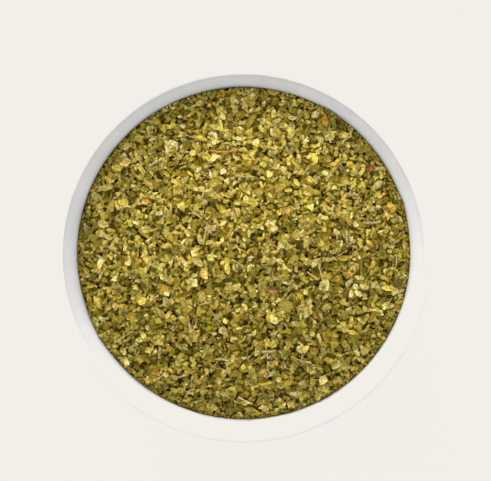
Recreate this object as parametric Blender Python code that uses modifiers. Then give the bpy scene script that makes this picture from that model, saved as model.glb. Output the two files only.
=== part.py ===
"""A white porcelain bowl filled with dried, rubbed oregano, at its real size.

Units are metres and +Z is up. The origin is the centre of the bowl's foot, on the surface that it
stands on. The bowl is one turned piece. The oregano is a bed of leaf flakes grown together with the
heap that they are rooted in, with a few stalk pieces and brown leaf bits lying loose on top of it.
"""

import math
import random

import bmesh
import bpy
from mathutils import Quaternion, Vector
from mathutils.bvhtree import BVHTree

# Bowl
RIM_RADIUS = 0.0600
BOWL_HEIGHT = 0.0500
LIP_THICKNESS = 0.0022
FLOOR_THICKNESS = 0.0030
FLOOR_HEIGHT = 0.0055
FLARE = 0.0060  # from the rim up to the level where the bowl's ellipses would be widest
FOOT_RADIUS = 0.0270
FOOT_WIDTH = 0.0030
FOOT_RECESS = 0.0025
FOOT_ROUNDING = 0.0005
BOWL_SIDES = 64
WALL_STEPS = 12
LIP_STEPS = 6

# Heap of dried leaves, which the flakes are rooted in
HEAP_EDGE = BOWL_HEIGHT - 0.0129
CROWN = 0.0045  # how much higher the middle of the heap is than its edge
GAP = 0.0003  # between neighbouring pieces
HEAP_SIDES = 48
HEAP_WALL_STEPS = 6
HEAP_TOP_STEPS = 7
HEAP_ROUGHNESS = 0.0002
HEAP_SWELLS = ((0.0005, 95, 40, 0.7), (0.0004, -70, 120, math.pi / 2))  # height, rates along X and Y, phase

# Leaf flakes, larger than life so that they cover the heap
FLAKE_COUNT = 200
FLAKE_LENGTH = 0.0090
FLAKE_SIZES = (0.72, 1.15)  # the least and the most, as shares of that length
FLAKE_THICKNESS = 0.00065
FLAKE_FOLDS = (8, 24)  # degrees, up or down from its middle
FLAKE_SHIFT = 0.0006  # how far it may be off its even place
ROOT_DEPTH = 0.0003
MOST_LEAN = math.radians(25)
LEAST_LEAN = 0.15  # of the most
GOLDEN_ANGLE = math.pi * (3 - math.sqrt(5))

# Loose pieces that lie on the bed: where from the middle and how long, in millimetres, with the way
# that they point in degrees between the two
MM = 0.001
STALK_RADIUS = 0.0004
STALK_BEND = 0.06  # of its length
STALKS = (
    (-6.4, 33.5, 2, 9.6),
    (35.2, 19.3, 178, 4.2),
    (41.4, 10.4, 4, 6.4),
    (33.4, 5.6, 93, 4.6),
    (8.1, -31.4, 5, 5.0),
    (-27.3, -32.0, 84, 4.0),
)
BIT_FOLD = math.radians(14)
BROWN_BITS = (
    (-31.9, 17.2, 5, 5.0),
    (26.2, 43.2, 100, 4.4),
    (41.2, 27.6, 70, 3.4),
    (-28.5, -38.6, 150, 4.2),
    (9.7, -12.3, 176, 3.8),
    (47.8, 15.2, 115, 4.2),
)
LAYING_STEPS = 24

RANDOM_SEED = 7
WELD_DISTANCE = 0.00001
WHITE_GLAZE = (0.86, 0.85, 0.83, 1)
DRIED_GREEN = (0.34, 0.30, 0.06, 1)
PALE_STRAW = (0.62, 0.50, 0.22, 1)
LEAF_BROWN = (0.36, 0.19, 0.05, 1)


def clear_scene():
    for old in list(bpy.data.objects):
        bpy.data.objects.remove(old)


def new_collection(name):
    collection = bpy.data.collections.new(name)
    bpy.context.scene.collection.children.link(collection)
    return collection


def material(name, colour, roughness):
    made = bpy.data.materials.new(name)
    made.use_nodes = True
    surface = made.node_tree.nodes["Principled BSDF"]
    surface.inputs["Base Color"].default_value = colour
    surface.inputs["Roughness"].default_value = roughness
    surface.inputs["Metallic"].default_value = 0
    return made


def add_object(name, data, collection, finish):
    made = bpy.data.objects.new(name, data)
    data.materials.clear()
    data.materials.append(finish)
    collection.objects.link(made)
    return made


class Wall:
    """One face of the bowl's wall: a quarter ellipse that is widest a little above the rim."""

    def __init__(self, radius_at_lip, lowest):
        self.level = BOWL_HEIGHT + FLARE
        self.depth = self.level - lowest
        self.widest = radius_at_lip / math.sqrt(1 - ((self.level - LIP_LEVEL) / self.depth) ** 2)

    def radius(self, height):
        return self.widest * math.sqrt(max(0, 1 - ((self.level - height) / self.depth) ** 2))

    def points(self, low_radius, top, steps):
        """Points up the wall, evenly spaced round its ellipse, from a radius to a height."""
        start = math.asin(low_radius / self.widest)
        end = math.acos((self.level - top) / self.depth)
        turns = [start + (end - start) * i / steps for i in range(steps + 1)]
        return [(self.widest * math.sin(t), self.level - self.depth * math.cos(t)) for t in turns]


LIP_LEVEL = BOWL_HEIGHT - LIP_THICKNESS / 2
INNER_WALL = Wall(RIM_RADIUS - LIP_THICKNESS, FLOOR_HEIGHT)
OUTER_WALL = Wall(RIM_RADIUS, FLOOR_HEIGHT - FLOOR_THICKNESS)


def turned(name, profile, sides, collection, finish):
    """A solid of revolution, whose profile ends on the axis at both ends."""
    mesh = bpy.data.meshes.new(name)
    edges = [(i, i + 1) for i in range(len(profile) - 1)]
    mesh.from_pydata([(radius, 0, height) for radius, height in profile], edges, [])
    made = add_object(name, mesh, collection, finish)
    screw = made.modifiers.new("turn", "SCREW")
    screw.steps = screw.render_steps = sides
    screw.use_merge_vertices = True
    screw.merge_threshold = WELD_DISTANCE
    screw.use_smooth_shade = True
    return made


def bowl_profile():
    """From the middle of the floor, up the inside, over the lip, down the outside and under the foot."""
    half_lip = LIP_THICKNESS / 2
    lip_middle = RIM_RADIUS - half_lip
    inside = INNER_WALL.points(0, LIP_LEVEL, WALL_STEPS)
    lip_turns = [math.pi * i / LIP_STEPS for i in range(1, LIP_STEPS)]
    lip = [(lip_middle - half_lip * math.cos(t), LIP_LEVEL + half_lip * math.sin(t)) for t in lip_turns]
    outside = OUTER_WALL.points(FOOT_RADIUS + FOOT_ROUNDING, LIP_LEVEL, WALL_STEPS)[::-1]
    foot_inside = FOOT_RADIUS - FOOT_WIDTH
    foot = [
        (FOOT_RADIUS, FOOT_ROUNDING),
        (FOOT_RADIUS - FOOT_ROUNDING, 0),
        (foot_inside + FOOT_ROUNDING, 0),
        (foot_inside, FOOT_ROUNDING),
        (foot_inside - FOOT_ROUNDING, FOOT_RECESS),
        (0, FOOT_RECESS),
    ]
    return inside + lip + outside + foot


def heap_radius(height):
    """How far out the leaves may reach at a height inside the bowl."""
    return INNER_WALL.radius(height) - GAP


def heap_height(x, y):
    """The top of the heap: crowned, with two low swells across it."""
    share = min(1, math.hypot(x, y) / heap_radius(HEAP_EDGE))
    swells = sum(high * math.sin(by_x * x + by_y * y + phase) for high, by_x, by_y, phase in HEAP_SWELLS)
    return HEAP_EDGE + CROWN * (1 - share**2) + swells * (1 - share**4)


def heap(name, collection, finish):
    """The body that fills the bowl: turned, with its top raised by the heap's formula."""
    side = [(max(0, r - GAP), z + GAP) for r, z in INNER_WALL.points(0, HEAP_EDGE - GAP, HEAP_WALL_STEPS)]
    edge_radius = side[-1][0]
    cover = [(edge_radius * i / HEAP_TOP_STEPS, HEAP_EDGE) for i in range(HEAP_TOP_STEPS)]
    made = turned(name, cover + side[::-1], HEAP_SIDES, collection, finish)
    mesh = made.data = solid_mesh(made)
    made.modifiers.clear()
    draw = random.Random(RANDOM_SEED)
    for vertex in mesh.vertices:
        x, y, z = vertex.co
        if z > HEAP_EDGE - GAP and math.hypot(x, y) < 0.99 * edge_radius:
            vertex.co.z = heap_height(x, y) + draw.uniform(-1, 1) * HEAP_ROUGHNESS
    return made


def solid_mesh(made):
    """The mesh that an object's modifiers make, with its ends welded."""
    graph = bpy.context.evaluated_depsgraph_get()
    mesh = bpy.data.meshes.new_from_object(made.evaluated_get(graph))
    edit = bmesh.new()
    edit.from_mesh(mesh)
    bmesh.ops.remove_doubles(edit, verts=edit.verts, dist=WELD_DISTANCE)
    edit.to_mesh(mesh)
    edit.free()
    return mesh


def leaf_corners(draw, length, fold):
    """A torn leaf: its two tips, the second one sharper, and two corners down each raised side."""
    half = length / 2
    width = length * draw.uniform(0.26, 0.42)
    corners = [
        Vector((-half * draw.uniform(0.8, 1), 0, 0)),
        Vector((-half * draw.uniform(0.3, 0.6), -width * draw.uniform(0.75, 1.05), 0)),
        Vector((half * draw.uniform(0.25, 0.6), -width * draw.uniform(0.6, 1), 0)),
        Vector((half * draw.uniform(0.9, 1.1), 0, 0)),
        Vector((half * draw.uniform(0.2, 0.6), width * draw.uniform(0.6, 1), 0)),
        Vector((-half * draw.uniform(0.3, 0.7), width * draw.uniform(0.75, 1.05), 0)),
    ]
    for corner in corners:
        corner.z = abs(corner.y) * math.tan(fold)
    return corners


def flake(name, corners, up, collection, finish):
    """A thin closed flake: its corners, and the same corners moved down by its thickness."""
    mesh = bpy.data.meshes.new(name)
    edit = bmesh.new()
    upper = [edit.verts.new(corner) for corner in corners]
    lower = [edit.verts.new(corner - up * FLAKE_THICKNESS) for corner in corners]
    for a, b, c in ((0, 1, 2), (0, 2, 3), (0, 3, 4), (0, 4, 5)):
        edit.faces.new((upper[a], upper[b], upper[c]))
        edit.faces.new((lower[c], lower[b], lower[a]))
    for i in range(len(corners)):
        after = (i + 1) % len(corners)
        edit.faces.new((upper[after], upper[i], lower[i], lower[after]))
    edit.to_mesh(mesh)
    edit.free()
    return add_object(name, mesh, collection, finish)


def rooted(corners):
    """Lowers a flake on to the heap until the underside of its third lowest corner is sunk in it."""
    above_heap = sorted(corner.z - heap_height(corner.x, corner.y) for corner in corners)
    drop = above_heap[2] - FLAKE_THICKNESS + ROOT_DEPTH
    return [corner - Vector((0, 0, drop)) for corner in corners]


def bent_clear(corner):
    """Keeps a corner of a flake off the bowl's wall."""
    allowed = heap_radius(corner.z - FLAKE_THICKNESS) - GAP
    out = math.hypot(corner.x, corner.y)
    pull = min(1, allowed / out) if out else 1
    return Vector((corner.x * pull, corner.y * pull, corner.z))


def leaf_flakes(collection, finish):
    """The bed's flakes, spread evenly by the sunflower rule, each with its own heading and lean."""
    draw = random.Random(RANDOM_SEED)
    reach = heap_radius(HEAP_EDGE) - 0.2 * FLAKE_LENGTH
    for i in range(FLAKE_COUNT):
        out = reach * math.sqrt((i + 0.5) / FLAKE_COUNT) + draw.uniform(-1, 1) * FLAKE_SHIFT
        around = i * GOLDEN_ANGLE + draw.uniform(-0.02, 0.02)
        centre = Vector((out * math.cos(around), out * math.sin(around), 0))
        fold = math.radians(draw.choice((-1, 1)) * draw.uniform(*FLAKE_FOLDS))
        heading = Quaternion((0, 0, 1), draw.uniform(0, math.tau))
        lean_axis = Vector((1, 0, 0))
        lean_axis.rotate(Quaternion((0, 0, 1), draw.uniform(0, math.tau)))
        turn = Quaternion(lean_axis, draw.uniform(LEAST_LEAN, 1) * MOST_LEAN) @ heading
        corners = leaf_corners(draw, FLAKE_LENGTH * draw.uniform(*FLAKE_SIZES), fold)
        placed = rooted([turn @ corner + centre for corner in corners])
        flake(f"flake_{i}", [bent_clear(c) for c in placed], turn @ Vector((0, 0, 1)), collection, finish)


def join(body, repeats):
    """Joins the flakes to the heap in one union, and leaves out sealed hollows and loose scraps."""
    union = body.modifiers.new("join", "BOOLEAN")
    union.operation = "UNION"
    union.operand_type = "COLLECTION"
    union.collection = repeats
    union.solver = "MANIFOLD"
    graph = bpy.context.evaluated_depsgraph_get()
    mesh = bpy.data.meshes.new_from_object(body.evaluated_get(graph))
    body.modifiers.clear()
    finish = body.data.materials[0]
    for used in list(repeats.objects):
        bpy.data.objects.remove(used)
    bpy.data.collections.remove(repeats)
    edit = bmesh.new()
    edit.from_mesh(mesh)
    keep_largest_shell(edit)
    bmesh.ops.triangulate(edit, faces=edit.faces)
    edit.to_mesh(mesh)
    edit.free()
    mesh.materials.clear()
    mesh.materials.append(finish)
    body.data = mesh


def keep_largest_shell(edit):
    """Only the shell with the most points stays."""
    unseen = set(edit.verts)
    shells = []
    while unseen:
        shell, front = set(), [unseen.pop()]
        while front:
            vertex = front.pop()
            shell.add(vertex)
            reached = {edge.other_vert(vertex) for edge in vertex.link_edges} & unseen
            unseen -= reached
            front.extend(reached)
        shells.append(shell)
    largest = max(shells, key=len)
    scraps = [vertex for vertex in edit.verts if vertex not in largest]
    bmesh.ops.delete(edit, geom=scraps, context="VERTS")


class Surface:
    """The top of the finished bed, which the loose pieces are laid on."""

    def __init__(self, bed):
        self.tree = BVHTree.FromObject(bed, bpy.context.evaluated_depsgraph_get())

    def height(self, x, y):
        return self.tree.ray_cast(Vector((x, y, BOWL_HEIGHT)), Vector((0, 0, -1)))[0].z

    def lay(self, piece, place):
        """Puts a piece at its place and heading, as low as it lies clear of every flake under it."""
        mesh = solid_mesh(piece)
        points = [vertex.co for vertex in mesh.vertices]
        underside = BVHTree.FromPolygons(points, [list(face.vertices) for face in mesh.polygons])
        half_length = max(abs(point.x) for point in points)
        half_width = max(abs(point.y) for point in points)
        bpy.data.meshes.remove(mesh)
        piece.rotation_euler.z = math.radians(place[2])
        turn = Quaternion((0, 0, 1), math.radians(place[2]))
        level = 0
        for i in range(-LAYING_STEPS, LAYING_STEPS + 1):
            for j in range(-LAYING_STEPS, LAYING_STEPS + 1):
                spot = Vector((half_length * i / LAYING_STEPS, half_width * j / LAYING_STEPS, 0))
                found = underside.ray_cast(spot - Vector((0, 0, BOWL_HEIGHT)), Vector((0, 0, 1)))[0]
                if found:
                    spot = turn @ spot
                    bed_level = self.height(place[0] * MM + spot.x, place[1] * MM + spot.y)
                    level = max(level, bed_level - found.z)
        piece.location = (place[0] * MM, place[1] * MM, level + GAP)


def stalk_piece(name, length, collection, finish):
    """A broken length of stalk, slightly bent."""
    curve = bpy.data.curves.new(name, "CURVE")
    curve.dimensions = "3D"
    curve.bevel_depth = STALK_RADIUS
    curve.bevel_resolution = 1
    curve.use_fill_caps = True
    line = curve.splines.new("POLY")
    line.points.add(3)
    for point, share in zip(line.points, (-0.5, -0.17, 0.17, 0.5)):
        point.co = (share * length, STALK_BEND * length * (0.5 - 4 * share**2), 0, 1)
    return add_object(name, curve, collection, finish)


def brown_leaf_bit(name, length, draw, collection, finish):
    """A brown bit of leaf or flower husk, folded up along its middle."""
    corners = leaf_corners(draw, length, BIT_FOLD)
    return flake(name, corners, Vector((0, 0, 1)), collection, finish)


def build():
    clear_scene()
    pieces = new_collection("bowl_of_dried_oregano")
    flakes = new_collection("flakes")
    glaze = material("white_glaze", WHITE_GLAZE, 0.18)
    green = material("dried_leaf", DRIED_GREEN, 0.85)
    straw = material("dried_stalk", PALE_STRAW, 0.75)
    brown = material("brown_leaf", LEAF_BROWN, 0.85)

    turned("bowl", bowl_profile(), BOWL_SIDES, pieces, glaze)
    bed = heap("oregano_bed", pieces, green)
    leaf_flakes(flakes, green)
    join(bed, flakes)

    surface = Surface(bed)
    draw = random.Random(RANDOM_SEED)
    for i, (*place, length) in enumerate(STALKS, 1):
        surface.lay(stalk_piece(f"stalk_piece_{i:02d}", length * MM, pieces, straw), place)
    for i, (*place, length) in enumerate(BROWN_BITS, 1):
        surface.lay(brown_leaf_bit(f"brown_leaf_bit_{i:02d}", length * MM, draw, pieces, brown), place)


build()
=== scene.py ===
"""The looks of a white porcelain bowl filled with dried, rubbed oregano, seen from straight above.

The bowl, the pieces of stalk and the brown bits each take the place of their own node in the frame.
The frame's bed of leaves is replaced by a dark core and by thousands of thin bits, which are laid on a
grid of heights one by one until they reach the level of the frame's bed.

Lengths are in metres, where a name or a comment doesn't say otherwise. Colours are linear red, green
and blue. Every part of the object rides on its one body.
"""

import copy
import math
from collections import namedtuple

import bpy
import numpy as np
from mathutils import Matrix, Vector
from mathutils.bvhtree import BVHTree


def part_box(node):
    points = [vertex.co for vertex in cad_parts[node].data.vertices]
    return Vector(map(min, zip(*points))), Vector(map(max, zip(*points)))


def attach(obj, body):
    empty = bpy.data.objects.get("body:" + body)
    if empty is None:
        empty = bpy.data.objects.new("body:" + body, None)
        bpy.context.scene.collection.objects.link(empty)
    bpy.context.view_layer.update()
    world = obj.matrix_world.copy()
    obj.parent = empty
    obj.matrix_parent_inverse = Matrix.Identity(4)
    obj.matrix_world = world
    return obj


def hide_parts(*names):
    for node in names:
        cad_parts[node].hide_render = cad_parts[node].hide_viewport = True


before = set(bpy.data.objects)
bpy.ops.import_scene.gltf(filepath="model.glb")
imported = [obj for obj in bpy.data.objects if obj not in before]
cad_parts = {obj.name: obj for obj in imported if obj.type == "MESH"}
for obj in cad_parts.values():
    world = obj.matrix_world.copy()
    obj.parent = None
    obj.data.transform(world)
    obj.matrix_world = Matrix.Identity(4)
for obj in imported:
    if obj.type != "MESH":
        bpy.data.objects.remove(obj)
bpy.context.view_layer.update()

MM = 0.001
SEED = 11

# The bowl's form: its width and height are the frame's
RIM_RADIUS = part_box("bowl")[1].x
BOWL_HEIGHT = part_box("bowl")[1].z
LIP_THICKNESS = 2.2 * MM
LIP_LEVEL = BOWL_HEIGHT - LIP_THICKNESS / 2
INSIDE_FLOOR = 5.5 * MM
BASE_THICKNESS = 3.0 * MM
FLARE = 6.0 * MM  # from the rim up to where the wall's curve would be upright
FOOT_RADIUS = 27.0 * MM
FOOT_WIDTH = 3.0 * MM
FOOT_RECESS = 2.5 * MM
FOOT_ROUNDING = 0.5 * MM
FOOT_FILLET = 1.6 * MM
NECK_HEIGHT = 1.5 * MM
NECK_POINTS = ((0.5 * MM, 0.45 * MM), (0.1 * MM, 0))
RECESS_POINTS = ((0, 0.6 * MM), (0.25 * MM, 0.15 * MM))
RECESS_FILLET = 0.7 * MM
WALL_STEPS = 40
LIP_STEPS = 14
FOOT_STEPS = 5
BOWL_SIDES = 224
SHARP_TURNING = 40  # degrees between faces, from where a turned edge is sharp

# The edge of the leaves, on the bowl's inner wall
BED_DEPTH = 12.9 * MM
BED_EDGE = BOWL_HEIGHT - BED_DEPTH


class Wall:
    """One face of the bowl's wall: a quarter ellipse that is widest a little above the rim."""

    def __init__(self, radius_at_lip, lowest):
        self.level = BOWL_HEIGHT + FLARE
        self.depth = self.level - lowest
        self.widest = radius_at_lip / math.sqrt(1 - ((self.level - LIP_LEVEL) / self.depth) ** 2)

    def radius(self, height):
        return self.widest * np.sqrt(np.maximum(0, 1 - ((self.level - height) / self.depth) ** 2))

    def points(self, low_radius, top, steps):
        """Radius and height of evenly turned points, from a radius low down up to a height."""
        start = math.asin(low_radius / self.widest)
        end = math.acos((self.level - top) / self.depth)
        turns = [start + (end - start) * i / steps for i in range(steps + 1)]
        return [(self.widest * math.sin(t), self.level - self.depth * math.cos(t)) for t in turns]


INNER_WALL = Wall(RIM_RADIUS - LIP_THICKNESS, INSIDE_FLOOR)
OUTER_WALL = Wall(RIM_RADIUS, INSIDE_FLOOR - BASE_THICKNESS)


# Materials

def new_material(name, roughness, specular=0.5):
    made = bpy.data.materials.new(name)
    made.use_nodes = True
    surface = made.node_tree.nodes["Principled BSDF"]
    surface.inputs["Roughness"].default_value = roughness
    surface.inputs["Specular IOR Level"].default_value = specular
    return made, surface


class Nodes:
    """Short calls that add nodes to a material or a world and link them."""

    def __init__(self, owner):
        self.tree = owner.node_tree

    def add(self, kind, **values):
        node = self.tree.nodes.new(kind)
        for name, value in values.items():
            setattr(node, name, value)
        return node

    def link(self, output, socket):
        self.tree.links.new(output, socket)

    def place(self):
        return self.add("ShaderNodeTexCoord").outputs["Object"]

    def attribute(self, name, output="Color"):
        return self.add("ShaderNodeAttribute", attribute_name=name).outputs[output]

    def parts(self, vector):
        """The X, Y and Z of a vector."""
        node = self.add("ShaderNodeSeparateXYZ")
        self.link(vector, node.inputs[0])
        return node.outputs

    def noise(self, vector, size, detail=2.0, roughness=0.5):
        """Noise whose features are about as large as size."""
        node = self.add("ShaderNodeTexNoise")
        self.link(vector, node.inputs["Vector"])
        node.inputs["Scale"].default_value = 1 / size
        node.inputs["Detail"].default_value = detail
        node.inputs["Roughness"].default_value = roughness
        return node.outputs["Fac"]

    def ramp(self, value, low, high, to_low=0.0, to_high=1.0, smooth=True):
        """A number that goes from to_low to to_high while a value goes from low to high."""
        node = self.add("ShaderNodeMapRange", interpolation_type="SMOOTHSTEP" if smooth else "LINEAR")
        self.link(value, node.inputs["Value"])
        limits = {"From Min": low, "From Max": high, "To Min": to_low, "To Max": to_high}
        for socket, number in limits.items():
            node.inputs[socket].default_value = number
        return node.outputs["Result"]

    def math(self, operation, first, second=0.0):
        node = self.add("ShaderNodeMath", operation=operation)
        for socket, value in zip(node.inputs, (first, second)):
            if isinstance(value, (int, float)):
                socket.default_value = value
            else:
                self.link(value, socket)
        return node.outputs[0]

    def mix(self, share, first, second, blend="MIX"):
        """Mixes two colours, each a socket or three numbers."""
        node = self.add("ShaderNodeMix", data_type="RGBA", blend_type=blend)
        for socket, value in ((node.inputs[0], share), (node.inputs[6], first), (node.inputs[7], second)):
            if isinstance(value, (int, float)):
                socket.default_value = value
            elif isinstance(value, tuple):
                socket.default_value = (*value, 1)
            else:
                self.link(value, socket)
        return node.outputs[2]

    def tones(self, value, low, high, first, second):
        """Goes from one colour to another while a value goes from low to high."""
        return self.mix(self.ramp(value, low, high), first, second)

    def bump(self, height, distance, strength=1.0, under=None):
        node = self.add("ShaderNodeBump")
        node.inputs["Distance"].default_value = distance
        node.inputs["Strength"].default_value = strength
        self.link(height, node.inputs["Height"])
        if under:
            self.link(under, node.inputs["Normal"])
        return node.outputs["Normal"]


def porcelain():
    """White glaze, faintly cloudy, with pinholes, a faint leaf tint above the leaves that ends in a dark
    band at their edge, partly leaf powder and partly painted contact shade, and a bare foot ring.

    The attribute "outside" is 0 on the inner wall and goes to 1 over the lip: the outside is warmer and
    darker, a painted shade that holds down the light on the outer lip and wall.
    """
    made, surface = new_material("white_porcelain", 0.2)
    nodes = Nodes(made)
    place = nodes.place()
    cloud = nodes.noise(place, 18 * MM, 3)
    glaze = nodes.tones(cloud, 0.35, 0.65, (0.84, 0.86, 0.90), (0.87, 0.89, 0.93))
    pinhole = nodes.ramp(nodes.noise(place, 0.9 * MM, 0), 0.76, 0.8)
    glaze = nodes.mix(nodes.math("MULTIPLY", pinhole, 0.25), glaze, (0.60, 0.57, 0.50))
    # The outside's glaze is warmer and darker than the inside's: painted shade, which holds down the light
    # on the outer lip and wall.
    shaded_outer_glaze = nodes.tones(cloud, 0.35, 0.65, (0.74, 0.73, 0.705), (0.77, 0.76, 0.735))
    outside = nodes.attribute("outside", "Fac")
    wobble = nodes.math("MULTIPLY", nodes.noise(place, 3 * MM, 2), 0.4 * MM)
    level = nodes.math("SUBTRACT", nodes.parts(place)["Z"], wobble)
    # Towards the leaves' edge the glaze takes a faint leaf tint, then a dark band along the edge: partly
    # leaf powder, partly painted contact shade.
    film = nodes.ramp(level, BED_EDGE + 2.4 * MM, BED_EDGE, 0, 0.16)
    line = nodes.ramp(level, BED_EDGE + 0.35 * MM, BED_EDGE - 0.45 * MM)
    inside = nodes.math("LESS_THAN", outside, 0.01)
    dust_and_contact_shade = nodes.math("MULTIPLY", nodes.math("MAXIMUM", line, film), inside)
    glaze = nodes.mix(outside, nodes.mix(dust_and_contact_shade, glaze, (0.30, 0.23, 0.03)), shaded_outer_glaze)
    bare = nodes.ramp(level, 0.55 * MM, 0.25 * MM)
    grain = nodes.noise(place, 0.25 * MM, 3)
    clay = nodes.mix(grain, (0.70, 0.66, 0.58), (0.80, 0.77, 0.70))
    nodes.link(nodes.mix(bare, glaze, clay), surface.inputs["Base Color"])
    nodes.link(nodes.ramp(bare, 0, 1, 0.17, 0.75), surface.inputs["Roughness"])
    waves = nodes.bump(nodes.noise(place, 7 * MM, 1), 0.05 * MM, 0.5)
    rough_clay = nodes.bump(nodes.math("MULTIPLY", grain, bare), 0.05 * MM, 1, waves)
    nodes.link(rough_clay, surface.inputs["Normal"])
    return made


def dried_leaf(name="dried_leaf"):
    """Dried leaf in each bit's own colour, mottled, with a midrib and side veins, and matt."""
    side_veins_apart = 0.55  # mm
    side_vein_slant = 0.8
    made, surface = new_material(name, 0.78, 0.08)
    nodes = Nodes(made)
    place = nodes.place()
    spot = nodes.parts(nodes.attribute("bit_place", "Vector"))
    across = nodes.math("ABSOLUTE", spot["Y"])
    slanted = nodes.math("SUBTRACT", spot["X"], nodes.math("MULTIPLY", across, side_vein_slant))
    stripe = nodes.math("SINE", nodes.math("MULTIPLY", slanted, 2 * math.pi / side_veins_apart))
    side_vein = nodes.math("MULTIPLY", nodes.ramp(stripe, 0.75, 1.0), 0.6)
    vein = nodes.math("MAXIMUM", nodes.ramp(across, 0.1, 0.02), side_vein)
    coarse = nodes.noise(place, 0.9 * MM, 2)
    fine = nodes.noise(place, 0.28 * MM, 3, 0.65)
    mottling = nodes.tones(coarse, 0.3, 0.7, (0.66, 0.60, 0.16), (1.29, 1.29, 1.40))
    grain = nodes.tones(fine, 0.25, 0.75, (0.56, 0.52, 0.16), (1.44, 1.44, 1.56))
    colour = nodes.mix(1.0, nodes.attribute("bit_colour"), mottling, "MULTIPLY")
    colour = nodes.mix(1.0, colour, grain, "MULTIPLY")
    colour = nodes.mix(nodes.math("MULTIPLY", vein, 0.35), colour, (0.68, 0.59, 0.27))
    nodes.link(colour, surface.inputs["Base Color"])
    nodes.link(nodes.ramp(fine, 0.3, 0.7, 0.6, 0.85), surface.inputs["Roughness"])
    ridges = nodes.bump(vein, 0.05 * MM, 0.7)
    nodes.link(nodes.bump(fine, 0.12 * MM, 0.8, ridges), surface.inputs["Normal"])
    return made


def packed_leaf_painted_shade():
    """Packed leaves in the gaps between the bits, painted near-black as the shade there: brown to green."""
    made, surface = new_material("packed_leaf_painted_shade", 0.9, 0.05)
    nodes = Nodes(made)
    place = nodes.place()
    clumps = nodes.noise(place, 1.3 * MM, 3, 0.6)
    colour = nodes.tones(clumps, 0.3, 0.7, (0.03, 0.020, 0.002), (0.11, 0.075, 0.008))
    nodes.link(colour, surface.inputs["Base Color"])
    nodes.link(nodes.bump(nodes.noise(place, 0.5 * MM, 3), 0.3 * MM), surface.inputs["Normal"])
    return made


def dried_stalk(name, light, dark):
    """Dried stalk: long fibres in two tones, with darker scars."""
    made, surface = new_material(name, 0.7, 0.12)
    nodes = Nodes(made)
    drawn_out = nodes.add("ShaderNodeMapping")
    drawn_out.inputs["Scale"].default_value = (0.35, 5.0, 5.0)
    nodes.link(nodes.attribute("bit_place", "Vector"), drawn_out.inputs["Vector"])
    fibre = nodes.noise(drawn_out.outputs[0], 1.0, 3, 0.6)
    scar = nodes.ramp(nodes.noise(nodes.place(), 1.1 * MM, 1), 0.52, 0.66)
    colour = nodes.tones(fibre, 0.3, 0.7, dark, light)
    colour = nodes.mix(nodes.math("MULTIPLY", scar, 0.6), colour, (0.16, 0.10, 0.03))
    nodes.link(colour, surface.inputs["Base Color"])
    nodes.link(nodes.bump(fibre, 0.08 * MM, 0.8), surface.inputs["Normal"])
    return made


# Meshes

def add_object(name, mesh, material):
    made = bpy.data.objects.new(name, mesh)
    bpy.context.scene.collection.objects.link(made)
    mesh.materials.append(material)
    return made


def add_piece(name, mesh, material, node):
    """A piece of the object that takes the place of a CAD node, alone or with others."""
    made = add_object(name, mesh, material)
    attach(made, "root")
    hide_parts(node)


def mesh_of(name, points, faces, sharp_degrees):
    mesh = bpy.data.meshes.new(name)
    mesh.from_pydata(points, [], faces)
    mesh.shade_smooth()
    mesh.set_sharp_from_angle(angle=math.radians(sharp_degrees))
    return mesh


def store_places(mesh, places):
    """Gives every point its place on its own bit, in millimetres, for the veins and fibres."""
    data = mesh.attributes.new("bit_place", "FLOAT_VECTOR", "POINT").data
    data.foreach_set("vector", places.astype(np.float32).ravel())


def store_colours(mesh, colours):
    """Gives every point the colour of its bit."""
    data = mesh.color_attributes.new("bit_colour", "FLOAT_COLOR", "POINT").data
    rgba = np.column_stack([colours, np.ones(len(colours))])
    data.foreach_set("color", rgba.astype(np.float32).ravel())


def points_of(mesh):
    return np.array([vertex.co for vertex in mesh.vertices])


def tree_of(mesh):
    """A tree of a mesh's faces, which says what a ray hits."""
    points = [vertex.co for vertex in mesh.vertices]
    return BVHTree.FromPolygons(points, [list(face.vertices) for face in mesh.polygons])


def turned_mesh(name, profile, sides):
    """A solid of revolution whose profile starts and ends on the axis."""
    turns = np.arange(sides) * math.tau / sides
    rings = np.array(profile[1:-1])
    x = np.outer(rings[:, 0], np.cos(turns))
    y = np.outer(rings[:, 0], np.sin(turns))
    z = np.repeat(rings[:, 1:], sides, 1)
    ring_points = np.stack([x, y, z], axis=2).reshape(-1, 3)
    points = np.vstack([[(0, 0, profile[0][1])], ring_points, [(0, 0, profile[-1][1])]])
    last = len(points) - 1
    faces = [(0, 1 + i, 1 + (i + 1) % sides) for i in range(sides)]
    for ring in range(len(rings) - 1):
        start = 1 + ring * sides
        for i in range(sides):
            after = (i + 1) % sides
            faces.append((start + i, start + sides + i, start + sides + after, start + after))
    start = last - sides
    faces += [(start + (i + 1) % sides, start + i, last) for i in range(sides)]
    return mesh_of(name, points, faces, SHARP_TURNING)


def arc(centre, radius, start, end, steps):
    """Points on an arc from one angle to another, in degrees."""
    turns = [math.radians(start + (end - start) * i / steps) for i in range(steps + 1)]
    return [(centre[0] + radius * math.cos(t), centre[1] + radius * math.sin(t)) for t in turns]


# The bowl

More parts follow.
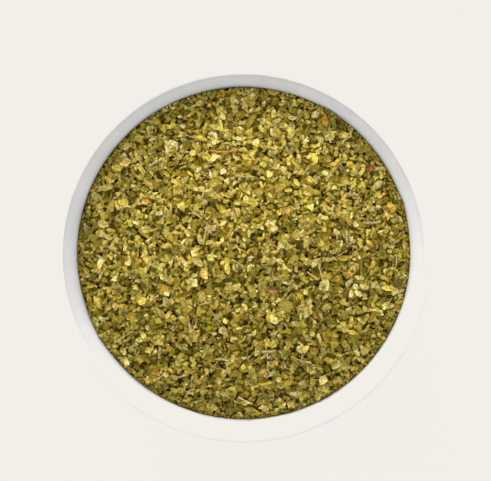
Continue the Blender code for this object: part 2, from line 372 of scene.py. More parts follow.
def bowl_profile():
    """From the middle of the floor, up the inside, over the lip, down the outside and under the foot."""
    half_lip = LIP_THICKNESS / 2
    foot_inside = FOOT_RADIUS - FOOT_WIDTH
    inside = INNER_WALL.points(0, LIP_LEVEL, WALL_STEPS)
    lip = arc((RIM_RADIUS - half_lip, LIP_LEVEL), half_lip, 180, 0, LIP_STEPS)[1:-1]
    outside = OUTER_WALL.points(FOOT_RADIUS + FOOT_FILLET, LIP_LEVEL, WALL_STEPS)[::-1]
    neck_level = outside[-1][1] - NECK_HEIGHT
    foot = [(FOOT_RADIUS + out, neck_level + up) for out, up in NECK_POINTS]
    foot += arc((FOOT_RADIUS - FOOT_ROUNDING, FOOT_ROUNDING), FOOT_ROUNDING, 0, -90, FOOT_STEPS)
    foot += arc((foot_inside + FOOT_ROUNDING, FOOT_ROUNDING), FOOT_ROUNDING, -90, -180, FOOT_STEPS)
    foot += [(foot_inside - inward, FOOT_RECESS - down) for inward, down in RECESS_POINTS]
    foot += [((foot_inside - RECESS_FILLET) * share, FOOT_RECESS) for share in (1, 0.75, 0.5, 0.25, 0)]
    return inside + lip + outside + foot


def make_bowl():
    profile = bowl_profile()
    mesh = turned_mesh("porcelain_bowl", profile, BOWL_SIDES)
    crest = max(range(len(profile)), key=lambda i: profile[i][1])
    outside = [0] * crest + [
        min(1, (BOWL_HEIGHT - height) / (LIP_THICKNESS / 2 + MM)) for _, height in profile[crest:]
    ]
    shares = np.concatenate([outside[:1], np.repeat(outside[1:-1], BOWL_SIDES), outside[-1:]])
    data = mesh.attributes.new("outside", "FLOAT", "POINT").data
    data.foreach_set("value", shares.astype(np.float32))
    add_piece("porcelain_bowl", mesh, porcelain(), "bowl")


# The ground that the bits are laid on
CELL = 0.2 * MM
REACH = 57 * MM
START_DEPTH = 2.4 * MM
BED_LIFT = 0.1 * MM
MIDDLE_RADIUS = 50 * MM
EDGE_START = 51.5 * MM
EDGE_WIDTH = 2.0 * MM
EDGE_DROP = 0.5 * MM
ALLOWANCE_RADII = (48 * MM, 51.5 * MM)
ALLOWANCES = (3 * MM, 0.35 * MM)
PROBE_STEP = 1.5 * MM
PROBE_RADIUS = 52.5 * MM
SMOOTHINGS = 14


class Ground:
    """A grid of heights.

    start is the level of the core under the bits, target is the level that the bits are to reach, height
    is the level that they have reached, and ceiling is what they stay under. allowance is how far a bit
    may stand over the target, and near_wall goes from 0 to 1 in the last millimetres before the wall.
    """

    def __init__(self):
        self.line = np.arange(int(2 * REACH / CELL) + 1) * CELL - REACH
        self.x, self.y = np.meshgrid(self.line, self.line, indexing="ij")
        away = np.hypot(self.x, self.y)
        self.middle = away < MIDDLE_RADIUS
        self.allowance = np.interp(away, ALLOWANCE_RADII, ALLOWANCES)
        self.near_wall = np.clip((away - EDGE_START) / EDGE_WIDTH, 0, 1)
        self.target = self.bed_level() + BED_LIFT - EDGE_DROP * self.near_wall
        self.start = self.target - START_DEPTH
        self.height = self.start.copy()
        self.ceiling = np.full(self.height.shape, np.inf)
        self.owner = np.full(self.height.shape, -1)
        self.bits_laid = 0

    def bed_level(self):
        """The level of the frame's bed, with its large flakes smoothed away."""
        tree = tree_of(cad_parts["oregano_bed"].data)
        coarse = np.arange(-REACH, REACH + PROBE_STEP, PROBE_STEP)
        levels = np.zeros((len(coarse), len(coarse)))
        for i, x in enumerate(coarse):
            for j, y in enumerate(coarse):
                pull = min(1, PROBE_RADIUS / max(math.hypot(x, y), 1e-9))
                hit = tree.ray_cast(Vector((x * pull, y * pull, BOWL_HEIGHT)), Vector((0, 0, -1)))[0]
                levels[i, j] = hit.z
        for _ in range(SMOOTHINGS):
            padded = np.pad(levels, 1, mode="edge")
            shifted = [padded[i:i + len(coarse), j:j + len(coarse)] for i in range(3) for j in range(3)]
            levels = sum(shifted) / 9
        rows = np.array([np.interp(self.line, coarse, row) for row in levels])
        return np.array([np.interp(self.line, coarse, column) for column in rows.T]).T

    def cells(self, points):
        """The rows and columns of the cells that points lie over."""
        found = np.rint((points[:, :2] + REACH) / CELL).astype(int)
        found = np.clip(found, 0, len(self.line) - 1)
        return found[:, 0], found[:, 1]

    def is_full(self):
        """Whether the middle of the bed is as high as the frame's, on average."""
        return (self.target - self.height)[self.middle].mean() < 0

    def neediest(self, draw, out):
        """Of places that are so far out, in chance directions, the one that is furthest under target."""
        around = draw.uniform(0, math.tau, len(out))
        places = np.stack([out * np.cos(around), out * np.sin(around)], 1)
        rows, columns = self.cells(places)
        best = np.argmax(self.target[rows, columns] - self.height[rows, columns])
        return places[best], self.near_wall[rows[best], columns[best]]

    def take(self, rows, columns, top):
        """Raises cells to the top of a new bit where that is higher, and gives the bit's number."""
        number = self.bits_laid
        self.bits_laid += 1
        higher = top > self.height[rows, columns]
        self.height[rows[higher], columns[higher]] = top[higher]
        self.owner[rows[higher], columns[higher]] = number
        return number

    def cells_seen(self):
        """How many cells of the surface each bit is the top of."""
        return np.bincount(self.owner[self.owner >= 0], minlength=self.bits_laid)


# How a bit lies: how much it leans with the ground and by chance, the share of its points that stay above
# the ground, its gap to the wall, and how far a loose piece over it may push it down
FOLLOW = 0.8
SWAY = 0.34
SHARE_ABOVE = 0.96
WALL_GAP = 0.06 * MM
WALL_STEP = 0.02 * MM
MOST_PUSHED = 0.5 * MM
STEADYING = 1e-9  # keeps the plane under a bit from being undecided


def turn_about_z(angle):
    c, s = math.cos(angle), math.sin(angle)
    return np.array([[c, -s, 0], [s, c, 0], [0, 0, 1]])


def tilt_matrix(normal):
    """The turn that takes +Z to a direction."""
    x, y, z = normal
    k = 1 / (1 + z)
    return np.array([[1 - x * x * k, -x * y * k, x], [-x * y * k, 1 - y * y * k, y], [-x, -y, z]])


def lean(under, flat, sway):
    """The way that a bit's upper side faces: up from the plane nearest to the heights under it, swayed."""
    design = np.column_stack([flat[:, 0], flat[:, 1], np.full(len(flat), MM)])
    steadied = design.T @ design + np.eye(3) * STEADYING
    slope = np.linalg.solve(steadied, design.T @ under)[:2]
    steep = max(1, math.hypot(*slope))
    up = np.array([-slope[0] / steep * FOLLOW + sway[0], -slope[1] / steep * FOLLOW + sway[1], 1])
    return up / np.linalg.norm(up)


def past_wall(points, heights):
    """How far the outermost of some points would be outside the inner wall at these heights."""
    return (np.hypot(points[:, 0], points[:, 1]) - INNER_WALL.radius(heights)).max()


def settle(ground, samples, thickness, place, heading, sway):
    """Lays a bit at a place: gives its number, turn and centre, or nothing where it can't lie there."""
    turn = turn_about_z(heading)
    flat = samples @ turn.T
    rows, columns = ground.cells(flat + (*place, 0))
    turn = tilt_matrix(lean(ground.height[rows, columns], flat, sway)) @ turn
    spread = samples @ turn.T
    centre = np.array([*place, 0.0])
    for _ in range(2):
        points = spread + centre
        rows, columns = ground.cells(points)
        rise = ground.height[rows, columns] - points[:, 2] + thickness
        above = int(len(rise) * SHARE_ABOVE)
        level = np.partition(rise, above)[above]
        over = past_wall(points, points[:, 2] + level - thickness) + WALL_GAP
        if over <= 0:
            break
        centre[:2] -= centre[:2] / max(np.hypot(*centre[:2]), MM) * (over + WALL_STEP)
    top = points[:, 2] + level
    blocked = (top - ground.ceiling[rows, columns]).max()
    if blocked > MOST_PUSHED:
        return None
    if blocked > 0:
        level -= blocked
        top = top - blocked
    if past_wall(points, top - thickness) + WALL_GAP / 2 > 0:
        return None
    if (top - ground.target[rows, columns] - ground.allowance[rows, columns]).mean() > 0:
        return None
    centre[2] = level
    return ground.take(rows, columns, top), turn, centre


# The shapes of the bits, in millimetres until they are placed: limits at first, then middle values with
# their spread. The curls are those of a bit as long as CURL_LENGTH, and a longer bit curls less.
CUTS = 4
CUT_REACH = (0.35, 1.25)
CORNER_SHIFT = (-0.3, 0.3)
MOST_TAPER = 0.45
RAGGEDNESS = (0, 0.06)
CURL_LENGTH = 2.2
CURL_ALONG = (0, 0.16)
CURL_ACROSS = (0.05, 0.28)
TWIST = (0, 0.2)
FOLD = (0, 0.38)
RUFFLE = (0, 0.03)
SHARP_LEAF = 50  # degrees


class LeafShapes:
    """Torn, curled bits of leaf, each with its own outline and curl."""

    def __init__(self, draw, lengths, corners, slenderness):
        count = len(lengths)
        shift = draw.uniform(*CORNER_SHIFT, (count, corners))
        turns = (np.arange(corners) + shift) * math.tau / corners
        taper = draw.uniform(0, MOST_TAPER, (count, 1))
        half_length = lengths / 2
        half_width = half_length * slenderness
        u = np.cos(turns) * half_length[:, None]
        v = np.sin(turns) * (1 - taper * np.cos(turns)) * half_width[:, None]
        outline = np.stack([u, v], 2)
        for _ in range(CUTS):
            way = draw.uniform(0, math.tau, count)
            across = np.stack([np.cos(way), np.sin(way)], 1)
            reach = np.hypot(across[:, 0] * half_length, across[:, 1] * half_width)
            kept = reach * draw.uniform(*CUT_REACH, count)
            beyond = np.maximum(0, np.einsum("ncj,nj->nc", outline, across) - kept[:, None])
            outline -= beyond[..., None] * across[:, None]
        outline *= 1 + draw.normal(*RAGGEDNESS, (count, corners, 1))
        self.outline = outline - outline.mean(1, keepdims=True)
        self.curl_along = draw.normal(*CURL_ALONG, count) * CURL_LENGTH / lengths
        self.curl_across = draw.normal(*CURL_ACROSS, count) * CURL_LENGTH / lengths
        self.twist = draw.normal(*TWIST, count) * CURL_LENGTH / lengths
        self.fold = draw.normal(*FOLD, count)
        self.ruffle = draw.normal(*RUFFLE, (count, corners)) * lengths[:, None]

    def surface(self, rings, finer=1):
        """Points of each bit: its middle, then rings out to its outline, split finer between its corners."""
        count, corners, _ = self.outline.shape
        steps = np.arange(corners * finer) / finer
        before = np.floor(steps).astype(int)
        after = (before + 1) % corners
        share = steps - before
        ring = self.outline[:, before] * (1 - share[:, None]) + self.outline[:, after] * share[:, None]
        ruffle = self.ruffle[:, before] * (1 - share) + self.ruffle[:, after] * share
        fractions = [(i + 1) / rings for i in range(rings)]
        flat = [np.zeros((count, 1, 2))] + [ring * fraction for fraction in fractions]
        wave = [np.zeros((count, 1))] + [ruffle * fraction**2 for fraction in fractions]
        u, v = np.moveaxis(np.concatenate(flat, 1), 2, 0)
        along, across, twist, fold = (
            values[:, None] for values in (self.curl_along, self.curl_across, self.twist, self.fold)
        )
        rounded_fold = fold * (np.sqrt(v * v + 0.01) - 0.1)
        w = along * u * u + across * v * v + twist * u * v
        w += rounded_fold + np.concatenate(wave, 1)
        return np.stack([u, v, w], 2)

    def chosen(self, which):
        """Only some of the shapes."""
        picked = copy.copy(self)
        for name, values in vars(self).items():
            setattr(picked, name, values[which])
        return picked


def plate_triangles(corners, rings):
    """Triangles of a closed bit: its upper side, the same on its lower side, and its edge."""
    side = []
    for i in range(corners):
        after = (i + 1) % corners
        side.append((0, 1 + i, 1 + after))
        for ring in range(rings - 1):
            a, b = 1 + ring * corners + i, 1 + ring * corners + after
            side += [(a, a + corners, b + corners), (a, b + corners, b)]
    per_side = 1 + rings * corners
    start = 1 + (rings - 1) * corners
    edge = []
    for i in range(corners):
        a, b = start + i, start + (i + 1) % corners
        edge += [(a, a + per_side, b + per_side), (a, b + per_side, b)]
    lower = [(a + per_side, c + per_side, b + per_side) for a, b, c in side]
    return np.array(side), np.array(lower), np.array(edge)


def bits_mesh(name, points, local, faces, colours):
    """One mesh of many closed bits, from each bit's points, places on the bit and colour."""
    count, per_bit, _ = points.shape
    all_faces = (np.arange(count)[:, None, None] * per_bit + faces[None]).reshape(-1, 3)
    mesh = mesh_of(name, points.reshape(-1, 3), all_faces, SHARP_LEAF)
    store_colours(mesh, np.repeat(colours, per_bit, 0))
    store_places(mesh, local)
    return mesh


# The map that a bake uses: the margin of each bit's cell, and how far the edge stands out there
MAP_MARGIN = 0.08
MAP_EDGE = 1.07


def map_spread(values):
    """Stretches each bit's values over its cell, up to the margin."""
    low, high = values.min(1, keepdims=True), values.max(1, keepdims=True)
    return MAP_MARGIN + (1 - 2 * MAP_MARGIN) * (values - low) / (high - low)


def leaf_map(mesh, local, faces_by_side):
    """Gives every bit a cell: the upper side and the edge in one half, the lower side in the other."""
    count, per_bit, _ = local.shape
    per_side = per_bit // 2
    u, v = map_spread(local[:, :per_side, 0]), map_spread(local[:, :per_side, 1])
    upper = np.stack([u, v * 0.5], 2)
    lower = np.stack([u, 0.5 + v * 0.5], 2)
    on_upper, on_lower, on_edge = (faces.ravel() for faces in faces_by_side)
    middle = np.array([0.5, 0.25])
    grow = np.where(on_edge >= per_side, MAP_EDGE, 1.0)[None, :, None]
    edge = middle + (upper[:, on_edge % per_side] - middle) * grow
    spots = np.concatenate([upper[:, on_upper], lower[:, on_lower - per_side], edge], 1)
    wide = math.ceil(math.sqrt(count))
    number = np.arange(count)
    cell = np.stack([number % wide, number // wide], 1)[:, None]
    layer = mesh.uv_layers.new(name="OFBake")
    layer.data.foreach_set("uv", ((spots + cell) / wide).astype(np.float32).ravel())


# Colours of the bits, and how common each is
LEAF_COLOURS = (
    ((0.56, 0.440, 0.070), 30),
    ((0.64, 0.535, 0.120), 20),
    ((0.72, 0.615, 0.200), 18),
    ((0.86, 0.770, 0.330), 10),
    ((0.32, 0.225, 0.020), 11),
    ((0.20, 0.155, 0.008), 9),
    ((0.42, 0.400, 0.110), 5),
    ((0.50, 0.290, 0.050), 1),
)
MOST_MIXED = 0.3
BRIGHTNESS = (-0.055, 0.22)  # middle and spread, as a power of e
HUE = (0, 0.035)
MIDDLE_GREEN = 0.46
BLUE_LIMITS = (0.2, 1.2)
COLOUR_LIMITS = (0.002, 0.95)
# Painted shade: bits low in the bed darken towards the first tone between these depths, and bits near the
# wall towards the second.
SHADE_DEPTHS = (0.2 * MM, 1.4 * MM)
DEEP_SHADE_TONE = (0.58, 0.54, 0.10)
WALL_SHADE_TONE = (0.74, 0.73, 0.60)

# Waves of lighter and darker leaves over the bed: height, radians for each mm of X and of Y, and phase
PATCHES = (
    (0.10, 0.62, 0.35, 1.0),
    (0.10, -0.30, 0.71, 2.6),
    (0.09, 0.93, -0.55, 4.4),
    (0.09, 0.41, 1.02, 0.3),
)
# Painted light: the leaves are lighter towards the back, the key light's side, by this much as a power of e
# for each mm.
PAINTED_LIGHT_TO_BACK = 0.0048  # for each mm


def patches_and_painted_light(places):
    """How much lighter or darker the leaves are at some places: waves of tone, and painted light that makes
    them lighter towards the back.
    """
    x, y = places[:, 0] / MM, places[:, 1] / MM
    waves = sum(high * np.sin(by_x * x + by_y * y + phase) for high, by_x, by_y, phase in PATCHES)
    return waves + PAINTED_LIGHT_TO_BACK * y


def toned(brightness, share, tone):
    """Brightness times a tone, by a share for each bit."""
    share = share[:, None]
    return brightness * (1 - share + share * np.array(tone))


def bit_colours(draw, ground, places):
    """Each bit's colour. Painted light makes the bits lighter towards the back, and painted shade makes
    those low in the bed and near the wall darker and less blue.
    """
    count = len(places)
    palette = np.array([colour for colour, _ in LEAF_COLOURS])
    weights = np.array([weight for _, weight in LEAF_COLOURS], float)
    weights /= weights.sum()
    first = palette[draw.choice(len(palette), count, p=weights)]
    second = palette[draw.choice(len(palette), count, p=weights)]
    share = draw.uniform(0, MOST_MIXED, (count, 1))
    brightness = np.exp(draw.normal(*BRIGHTNESS, (count, 1)) + patches_and_painted_light(places)[:, None])
    hue = np.exp(draw.normal(*HUE, (count, 3)))
    rows, columns = ground.cells(places)
    depth = ground.target[rows, columns] - places[:, 2]
    shallow, deep = SHADE_DEPTHS
    # Painted shade deep in the bed.
    brightness = toned(brightness, np.clip((depth - shallow) / (deep - shallow), 0, 1), DEEP_SHADE_TONE)
    # Painted shade near the wall.
    brightness = toned(brightness, ground.near_wall[rows, columns], WALL_SHADE_TONE)
    colours = (first * (1 - share) + second * share) * brightness * hue
    colours[:, 2] *= np.clip(colours[:, 1] / MIDDLE_GREEN, *BLUE_LIMITS)
    return np.clip(colours, *COLOUR_LIMITS)


# The kinds of leaf bit: the share of all bits, the middle length in mm and its spread, the corners and
# rings of the mesh, and the rings of points that feel the ground
LEAF_THICKNESS = 0.11 * MM
SLENDERNESS = (0.42, 0.82)
LeafKind = namedtuple("LeafKind", "name share length spread corners rings tested")
LEAF_KINDS = (
    LeafKind("leaf_pieces", share=0.07, length=3.6, spread=0.20, corners=14, rings=3, tested=6),
    LeafKind("leaf_bits", share=0.55, length=2.35, spread=0.26, corners=9, rings=2, tested=4),
    LeafKind("leaf_crumbs", share=0.372, length=1.3, spread=0.25, corners=7, rings=1, tested=2),
)
STEM_SHARE = 0.008
STEM_LENGTH = (4.0, 0.35)
STEM_RADII = (0.16, 0.32)
STEM_BEND = (0, 0.04)
STEM_SWAY = 0.3
STEM_SIDES = 8
STEM_RINGS = 8
MOST_PIECE_TRIANGLES = 190000
LEAST_SEEN = 3  # cells


class Bits:
    """All the bits of one kind. Each has points that feel the ground, and a thickness under them."""

    def __init__(self, draw, count, name):
        self.name = name
        self.headings = draw.uniform(0, math.tau, count)
        self.sways = draw.normal(0, SWAY, (count, 2))
        self.next = 0
        self.laid = []

    def drop(self, ground, place, calm):
        """Drops the next bit at a place, with its sway made smaller by calm."""
        i = self.next
        self.next += 1
        sway = self.sways[i] * calm
        lie = settle(ground, self.samples[i], self.thicknesses[i], place, self.headings[i], sway)
        if lie:
            self.laid.append((i, *lie))

    def showing(self, seen):
        """The bits that show, with how they lie, in groups that each make one piece."""
        kept = [row for row in self.laid if seen[row[1]] >= LEAST_SEEN]
        per_piece = MOST_PIECE_TRIANGLES // len(self.faces)
        for start in range(0, len(kept), per_piece):
            group = kept[start:start + per_piece]
            which = [i for i, _, _, _ in group]
            turns = np.array([turn for _, _, turn, _ in group])
            centres = np.array([centre for _, _, _, centre in group])
            yield f"{self.name}_{start // per_piece + 1}", which, turns, centres


class LeafBits(Bits):
    """Thin bits of leaf."""

    def __init__(self, draw, count, kind):
        super().__init__(draw, count, kind.name)
        self.rings = kind.rings
        lengths = np.exp(draw.normal(math.log(kind.length), kind.spread, count))
        slenderness = draw.uniform(*SLENDERNESS, count)
        self.shapes = LeafShapes(draw, lengths, kind.corners, slenderness)
        self.samples = self.shapes.surface(kind.tested, 2) * MM
        self.thicknesses = np.full(count, LEAF_THICKNESS)
        self.faces_by_side = plate_triangles(kind.corners, kind.rings)
        self.faces = np.concatenate(self.faces_by_side)

    def make(self, draw, ground, seen, finish):
        for name, which, turns, centres in self.showing(seen):
            upper = self.shapes.chosen(which).surface(self.rings) * MM
            local = np.concatenate([upper, upper - np.array([0, 0, LEAF_THICKNESS])], 1)
            points = np.einsum("nij,nvj->nvi", turns, local) + centres[:, None]
            colours = bit_colours(draw, ground, points.mean(1))
            mesh = bits_mesh(name, points, local / MM, self.faces, colours)
            leaf_map(mesh, local / MM, self.faces_by_side)
            add_piece(name, mesh, finish, "oregano_bed")


class StemBits(Bits):
    """Short broken bits of stalk among the leaves."""

    def __init__(self, draw, count):
        super().__init__(draw, count, "stem_bits")
        self.sways *= STEM_SWAY
        middle, spread = STEM_LENGTH
        lengths = np.exp(draw.normal(math.log(middle), spread, count)) * MM
        radii = draw.uniform(*STEM_RADII, count) * MM
        stems = [
            stalk_mesh(draw, length, radius, draw.normal(*STEM_BEND), STEM_SIDES, STEM_RINGS)
            for length, radius in zip(lengths, radii)
        ]
        self.samples = np.array([points for points, _ in stems])
        self.thicknesses = radii
        self.faces = np.array(stems[0][1])

    def make(self, draw, ground, seen, finish):
        for name, which, turns, centres in self.showing(seen):
            local = self.samples[which]
            points = np.einsum("nij,nvj->nvi", turns, local) + centres[:, None]
            colours = bit_colours(draw, ground, points.mean(1))
            mesh = bits_mesh(name, points, local / MM, self.faces, colours)
            add_piece(name, mesh, finish, "oregano_bed")


# How the bed is laid: the most bits, how often it is measured, and the crumbs that close it at the wall
MOST_BITS = 40000
MEASURED_EVERY = 250
CANDIDATES = 5
BED_REACH = 54.4 * MM
EDGE_SWAY = 0.4
EDGE_CRUMBS = 1800
EDGE_CRUMB_RADII = (52.6, 54.3)  # mm


def lay_bed(ground):
    """Drops bits where the bed is lowest until it is as high as the frame's, then crumbs at its edge."""
    draw = np.random.default_rng(SEED)
    shares = [kind.share for kind in LEAF_KINDS] + [STEM_SHARE]
    order = draw.choice(len(shares), MOST_BITS, p=shares)
    *leaf_counts, stem_count = np.bincount(order)
    leaves = [LeafBits(draw, count, kind) for count, kind in zip(leaf_counts, LEAF_KINDS)]
    stems = StemBits(draw, stem_count)
    for number, which in enumerate(order):
        out = BED_REACH * np.sqrt(draw.uniform(0, 1, CANDIDATES))
        place, near_wall = ground.neediest(draw, out)
        if number % MEASURED_EVERY == 0 and ground.is_full():
            break
        bits = stems if which == len(leaves) else leaves[which]
        bits.drop(ground, place, 1 - (1 - EDGE_SWAY) * near_wall)
    crumbs = leaves[-1]
    for _ in range(EDGE_CRUMBS):
        out = draw.uniform(*EDGE_CRUMB_RADII, CANDIDATES) * MM
        place, _ = ground.neediest(draw, out)
        crumbs.drop(ground, place, EDGE_SWAY)
    return leaves, stems


def make_bed(ground):
    leaves, stems = lay_bed(ground)
    seen = ground.cells_seen()
    draw = np.random.default_rng(SEED + 1)
    leaf = dried_leaf()
    for bits in leaves:
        bits.make(draw, ground, seen, leaf)
    stems.make(draw, ground, seen, dried_stalk("stem_bit", (0.80, 0.70, 0.34), (0.50, 0.40, 0.13)))


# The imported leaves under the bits
CORE_DEPTH = 3.6 * MM
CORE_RINGS = 60
CORE_SIDES = 128
CORE_WALL_STEPS = 24
CORE_UNDER_BITS = 0.3 * MM
CORE_ROUGHNESS = 0.12 * MM
CORE_RIM = 0.99  # the share of the cover's radius inside which it is roughened


def make_core(ground):
    """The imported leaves, which fill the bowl under the bits and show only in the gaps."""
    top = BED_EDGE - CORE_DEPTH
    wall = INNER_WALL.points(0, top - WALL_GAP, CORE_WALL_STEPS)
    side = [(max(0, radius - WALL_GAP), height + WALL_GAP) for radius, height in wall]
    edge = side[-1][0]
    cover = [(edge * i / CORE_RINGS, top) for i in range(CORE_RINGS)]
    mesh = turned_mesh("packed_leaves", cover + side[::-1], CORE_SIDES)
    draw = np.random.default_rng(SEED)
    points = points_of(mesh)
    out = np.hypot(points[:, 0], points[:, 1])
    on_cover = (points[:, 2] > top - 0.01 * MM) & (out < CORE_RIM * edge)
    rows, columns = ground.cells(points)
    level = ground.start[rows, columns] - CORE_UNDER_BITS + draw.normal(0, CORE_ROUGHNESS, len(points))
    points[on_cover, 2] = level[on_cover]
    mesh.vertices.foreach_set("co", points.astype(np.float32).ravel())
    # The core's near-black finish is painted shade for the gaps between the bits.
    add_piece("packed_leaves", mesh, packed_leaf_painted_shade(), "oregano_bed")


# The loose pieces, laid where the frame has them
ROOM_AROUND = 4 * MM
ROOM_GAP = 0.02 * MM
SWELL_GAP = 0.25 * MM
SWELL_SLOPE = 0.35


class Laid:
    """Where a loose piece of the frame lies: its centre, heading, length, width and levels."""

    def __init__(self, node):
        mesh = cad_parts[node].data
        points = points_of(mesh)
        middle = points[:, :2].mean(0)
        flat = points[:, :2] - middle
        along = np.linalg.eigh(flat.T @ flat)[1][:, 1]
        across = np.array([-along[1], along[0]])
        reach_along, reach_across = flat @ along, flat @ across
        middle = middle + along * (reach_along.max() + reach_along.min()) / 2
        middle = middle + across * (reach_across.max() + reach_across.min()) / 2
        self.low, self.high = points[:, 2].min(), points[:, 2].max()
        self.centre = np.array([*middle, (self.low + self.high) / 2])
        self.heading = math.atan2(along[1], along[0])
        self.length = np.ptp(reach_along)
        self.width = np.ptp(reach_across)
        self.tree = tree_of(mesh)

    def underside(self, x, y):
        """The piece's lowest level over a place, or nothing beside it."""
        hit = self.tree.ray_cast(Vector((x, y, 0)), Vector((0, 0, 1)))[0]
        return hit.z if hit else None


def laid_pieces(prefix):
    """The frame's loose pieces of one kind, in the order of their numbers."""
    return [Laid(node) for node in sorted(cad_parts) if node.startswith(prefix)]


def make_room(ground, laid):
    """Builds the bed up to a loose piece's underside, and keeps the bits from coming through it."""
    away = np.hypot(ground.x - laid.centre[0], ground.y - laid.centre[1])
    for i, j in np.argwhere(away < laid.length / 2 + CELL):
        under = laid.underside(ground.x[i, j], ground.y[i, j])
        if under is not None:
            ground.ceiling[i, j] = under - ROOM_GAP
    near = away < laid.length / 2 + ROOM_AROUND
    swell = laid.low - SWELL_GAP - np.maximum(0, away - laid.length / 3) * SWELL_SLOPE
    ground.target[near] = np.maximum(ground.target[near], swell[near])


def place_mesh(name, local, faces, laid, sharp_degrees):
    """A mesh of a loose piece, from its points in mm about its centre, with its length along X."""
    placed = local * MM @ turn_about_z(laid.heading).T + laid.centre
    mesh = mesh_of(name, placed, faces, sharp_degrees)
    store_places(mesh, local)
    return mesh


# The stalks
STALK_SIDES = 12
STALK_RINGS = 22
STALK_BEND = 0.05
STALK_FILL = 0.92  # of half the height that the frame's piece takes up
STALK_SWELL = 0.10
STALK_RIDGES = 4
RIDGE_HEIGHT = 0.13
UNEVENNESS = 0.03
SPLINTER = 0.9
END_HOLLOW = 0.6
SHARP_STALK = 35  # degrees
STRAW_STALK = ("dried_stalk", (0.66, 0.54, 0.27), (0.42, 0.30, 0.11))
RUSTY_STALK = ("rusty_stalk", (0.68, 0.42, 0.09), (0.40, 0.20, 0.03))
PALE_STALK = ("pale_stalk", (0.72, 0.62, 0.44), (0.50, 0.40, 0.24))


def stalk_mesh(draw, length, radius, bend, sides, rings):
    """Points and faces of a ridged, slightly bent stalk along X, with splintered, hollow ends."""
    along = np.linspace(-0.5, 0.5, rings)
    turns = np.arange(sides) * math.tau / sides
    wave = np.sin(along * 9 + draw.uniform(0, 6))
    swell = 1 + STALK_SWELL * wave + draw.normal(0, UNEVENNESS, rings)
    ridge = 1 + RIDGE_HEIGHT * np.cos(STALK_RIDGES * turns) + draw.normal(0, UNEVENNESS, sides)
    reach = radius * swell[:, None] * ridge[None, :]
    x = np.repeat(along[:, None] * length, sides, 1)
    splinter = draw.uniform(-1, 1, sides) * radius * SPLINTER
    x[0] += splinter
    x[-1] += np.roll(splinter, 5)
    y = bend * length * (0.5 - 4 * along[:, None] ** 2) + reach * np.cos(turns)
    z = reach * np.sin(turns)
    points = np.stack([x, y, z], 2).reshape(-1, 3)
    hollow = radius * END_HOLLOW
    ends = [(x[0].mean() + hollow, y[0].mean(), 0), (x[-1].mean() - hollow, y[-1].mean(), 0)]
    faces = []
    for ring in range(rings - 1):
        for i in range(sides):
            a, b = ring * sides + i, ring * sides + (i + 1) % sides
            faces += [(a, a + sides, b + sides), (a, b + sides, b)]
    last = rings * sides
    for i in range(sides):
        after = (i + 1) % sides
        faces.append((i, after, last))
        faces.append((last - sides + after, last - sides + i, last + 1))
    return np.vstack([points, ends]), faces


def make_stalks(laid_stalks):
    straw, rusty, pale = (dried_stalk(*look) for look in (STRAW_STALK, RUSTY_STALK, PALE_STALK))
    finishes = (rusty, straw, straw, pale, straw, straw)
    for i, (laid, finish) in enumerate(zip(laid_stalks, finishes), 1):
        draw = np.random.default_rng(SEED + i)
        radius = (laid.high - laid.low) / 2 * STALK_FILL
        length = laid.length - 2 * radius
        points, faces = stalk_mesh(draw, length, radius, STALK_BEND, STALK_SIDES, STALK_RINGS)
        mesh = place_mesh(f"stalk_{i:02d}", points / MM, faces, laid, SHARP_STALK)
        add_piece(f"stalk_{i:02d}", mesh, finish, f"stalk_piece_{i:02d}")


# The brown bits
HUSK_COLOURS = (
    (0.84, 0.50, 0.13),
    (0.60, 0.34, 0.05),
    (0.34, 0.14, 0.04),
    (0.50, 0.29, 0.06),
    (0.38, 0.18, 0.08),
    (0.72, 0.50, 0.08),
)
HUSK_CORNERS = 18
HUSK_RINGS = 5
HUSK_THICKNESS = 0.16  # mm
HUSK_CRUMPLE = 0.03  # mm


def make_husks(laid_husks):
    """The brown bits: folded, ragged bits of leaf and flower husk."""
    husk = dried_leaf("brown_leaf")
    faces_by_side = plate_triangles(HUSK_CORNERS, HUSK_RINGS)
    for i, (laid, colour) in enumerate(zip(laid_husks, HUSK_COLOURS), 1):
        draw = np.random.default_rng(SEED * 3 + i)
        shapes = LeafShapes(draw, np.array([laid.length / MM]), HUSK_CORNERS, laid.width / laid.length)
        upper = shapes.surface(HUSK_RINGS)[0]
        upper[:, 2] += draw.normal(0, HUSK_CRUMPLE, len(upper))
        upper[:, 2] += (laid.high - laid.centre[2]) / MM - upper[:, 2].max()
        local = np.concatenate([upper, upper - np.array([0, 0, HUSK_THICKNESS])])
        mesh = place_mesh(f"husk_{i:02d}", local, np.concatenate(faces_by_side), laid, SHARP_LEAF)
        store_colours(mesh, np.tile(colour, (len(local), 1)))
        leaf_map(mesh, local[None], faces_by_side)
        add_piece(f"husk_{i:02d}", mesh, husk, f"brown_leaf_bit_{i:02d}")


# The camera: the photograph's size and its rim, in pixels, and how far the view leans back
PHOTO_WIDTH = 491
PHOTO_HEIGHT = 481
RIM_PIXEL = (243.7, 256.5)
RIM_PIXEL_RADIUS = 188.1
PIXEL = RIM_RADIUS / RIM_PIXEL_RADIUS
CAMERA_LEAN = math.radians(3.3)
FOCAL_MM = 150
SENSOR_MM = 36


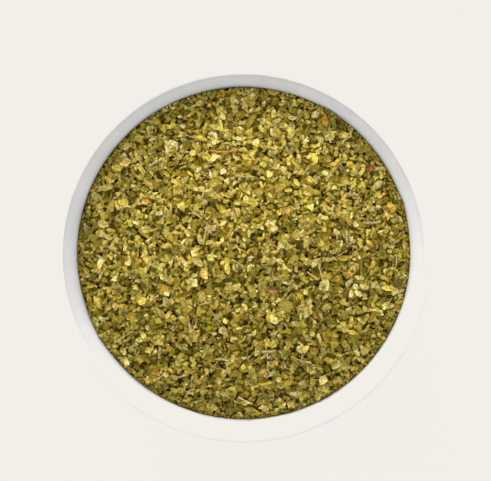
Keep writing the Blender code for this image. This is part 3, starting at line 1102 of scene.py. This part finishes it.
def make_camera():
    """A long lens that looks down, so placed that the rim is where the photograph has it."""
    data = bpy.data.cameras.new("camera")
    data.lens = FOCAL_MM
    data.sensor_width = SENSOR_MM
    data.clip_start = 0.01
    data.clip_end = 20
    camera = bpy.data.objects.new("camera", data)
    bpy.context.scene.collection.objects.link(camera)
    distance = FOCAL_MM * PHOTO_WIDTH / SENSOR_MM * PIXEL
    right = (RIM_PIXEL[0] - PHOTO_WIDTH / 2) * PIXEL
    up = (PHOTO_HEIGHT / 2 - RIM_PIXEL[1]) * PIXEL
    back = Vector((0, math.sin(CAMERA_LEAN), math.cos(CAMERA_LEAN)))
    upward = Vector((0, math.cos(CAMERA_LEAN), -math.sin(CAMERA_LEAN)))
    aim = Vector((0, 0, BOWL_HEIGHT)) - Vector((right, 0, 0)) - upward * up
    camera.location = aim + back * distance
    camera.rotation_euler = (-CAMERA_LEAN, 0, 0)
    bpy.context.scene.camera = camera


# The floor glows a little, so that shadows on it stay faint, and glows less so far out
FLOOR_HALF = 1.2
FLOOR_COLOUR = (0.05, 0.0485, 0.0455)
FLOOR_GLOW = (0.837, 0.8145, 0.759)
GLOW_RADII = (130 * MM, 520 * MM)
GLOW_FAR_OUT = 0.72

# The key light, as seen from the middle of the floor, with +Y at the back
KEY_AZIMUTH = math.radians(107)
KEY_ELEVATION = math.radians(33)
KEY_DISTANCE = 0.55
KEY_SIZE = 0.3
KEY_WATTS = 1.62
KEY_COLOUR = (1.0, 0.90, 0.74)

# The sky, from the horizon to straight up, with more light from the key's side and less from below
SKY_COLOUR = (0.97, 0.98, 1.025)
SKY_STRENGTH = (2.68, 0.06)
SKY_SIDE = 0.24
BELOW_HORIZON = 0.15

# The tone that the brightest parts of the picture are held at
PAPER_WHITE = (0.887, 0.863, 0.807)


def pale_floor():
    """A pale surface that glows, out to a distance."""
    made, surface = new_material("pale_floor", 0.9, 0.1)
    nodes = Nodes(made)
    away = nodes.add("ShaderNodeVectorMath", operation="LENGTH")
    nodes.link(nodes.place(), away.inputs[0])
    glow = nodes.ramp(away.outputs["Value"], *GLOW_RADII, 1, GLOW_FAR_OUT)
    nodes.link(glow, surface.inputs["Emission Strength"])
    surface.inputs["Base Color"].default_value = (*FLOOR_COLOUR, 1)
    surface.inputs["Emission Color"].default_value = (*FLOOR_GLOW, 1)
    return made


def make_floor():
    half = FLOOR_HALF
    corners = [(-half, -half, 0), (half, -half, 0), (half, half, 0), (-half, half, 0)]
    mesh = bpy.data.meshes.new("floor")
    mesh.from_pydata(corners, [], [(0, 1, 2, 3)])
    floor = add_object("floor", mesh, pale_floor())
    floor.visible_diffuse = False


def make_key_light():
    data = bpy.data.lights.new("key", "AREA")
    data.shape = "DISK"
    data.size = KEY_SIZE
    data.energy = KEY_WATTS
    data.color = KEY_COLOUR
    light = bpy.data.objects.new("key", data)
    bpy.context.scene.collection.objects.link(light)
    x, y = math.cos(KEY_AZIMUTH), math.sin(KEY_AZIMUTH)
    level = math.cos(KEY_ELEVATION)
    towards = Vector((x * level, y * level, math.sin(KEY_ELEVATION)))
    light.location = towards * KEY_DISTANCE
    light.rotation_euler = towards.to_track_quat("Z", "Y").to_euler()


def make_sky():
    world = bpy.data.worlds.new("studio")
    bpy.context.scene.world = world
    world.use_nodes = True
    sky = world.node_tree.nodes["Background"]
    sky.inputs["Color"].default_value = (*SKY_COLOUR, 1)
    nodes = Nodes(world)
    direction = nodes.add("ShaderNodeTexCoord").outputs["Generated"]
    height = nodes.parts(direction)["Z"]
    towards_key = nodes.add("ShaderNodeVectorMath", operation="DOT_PRODUCT")
    nodes.link(direction, towards_key.inputs[0])
    x, y = math.cos(KEY_AZIMUTH), math.sin(KEY_AZIMUTH)
    towards_key.inputs[1].default_value = (SKY_SIDE * x, SKY_SIDE * y, 0)
    above = nodes.ramp(height, 0, 1, *SKY_STRENGTH, smooth=False)
    below = nodes.ramp(height, -0.05, 0, BELOW_HORIZON, 1)
    side = nodes.math("ADD", towards_key.outputs["Value"], 1)
    nodes.link(nodes.math("MULTIPLY", nodes.math("MULTIPLY", above, below), side), sky.inputs["Strength"])


def hold_highlights():
    """Keeps every tone as it is up to the paper's, and holds brighter ones at that."""
    view = bpy.context.scene.view_settings
    view.view_transform = "Standard"
    view.look = "None"
    view.use_curve_mapping = True
    curves = view.curve_mapping
    curves.extend = "HORIZONTAL"
    for curve, white in zip(curves.curves, PAPER_WHITE):
        curve.points[1].location = (white, white)
        curve.points.new(1, white)
        for point in curve.points:
            point.handle_type = "VECTOR"
    curves.update()


make_bowl()
ground = Ground()
stalks = laid_pieces("stalk_piece_")
husks = laid_pieces("brown_leaf_bit_")
for laid in stalks + husks:
    make_room(ground, laid)
make_bed(ground)
make_core(ground)
make_stalks(stalks)
make_husks(husks)
make_camera()
make_floor()
make_key_light()
make_sky()
hold_highlights()
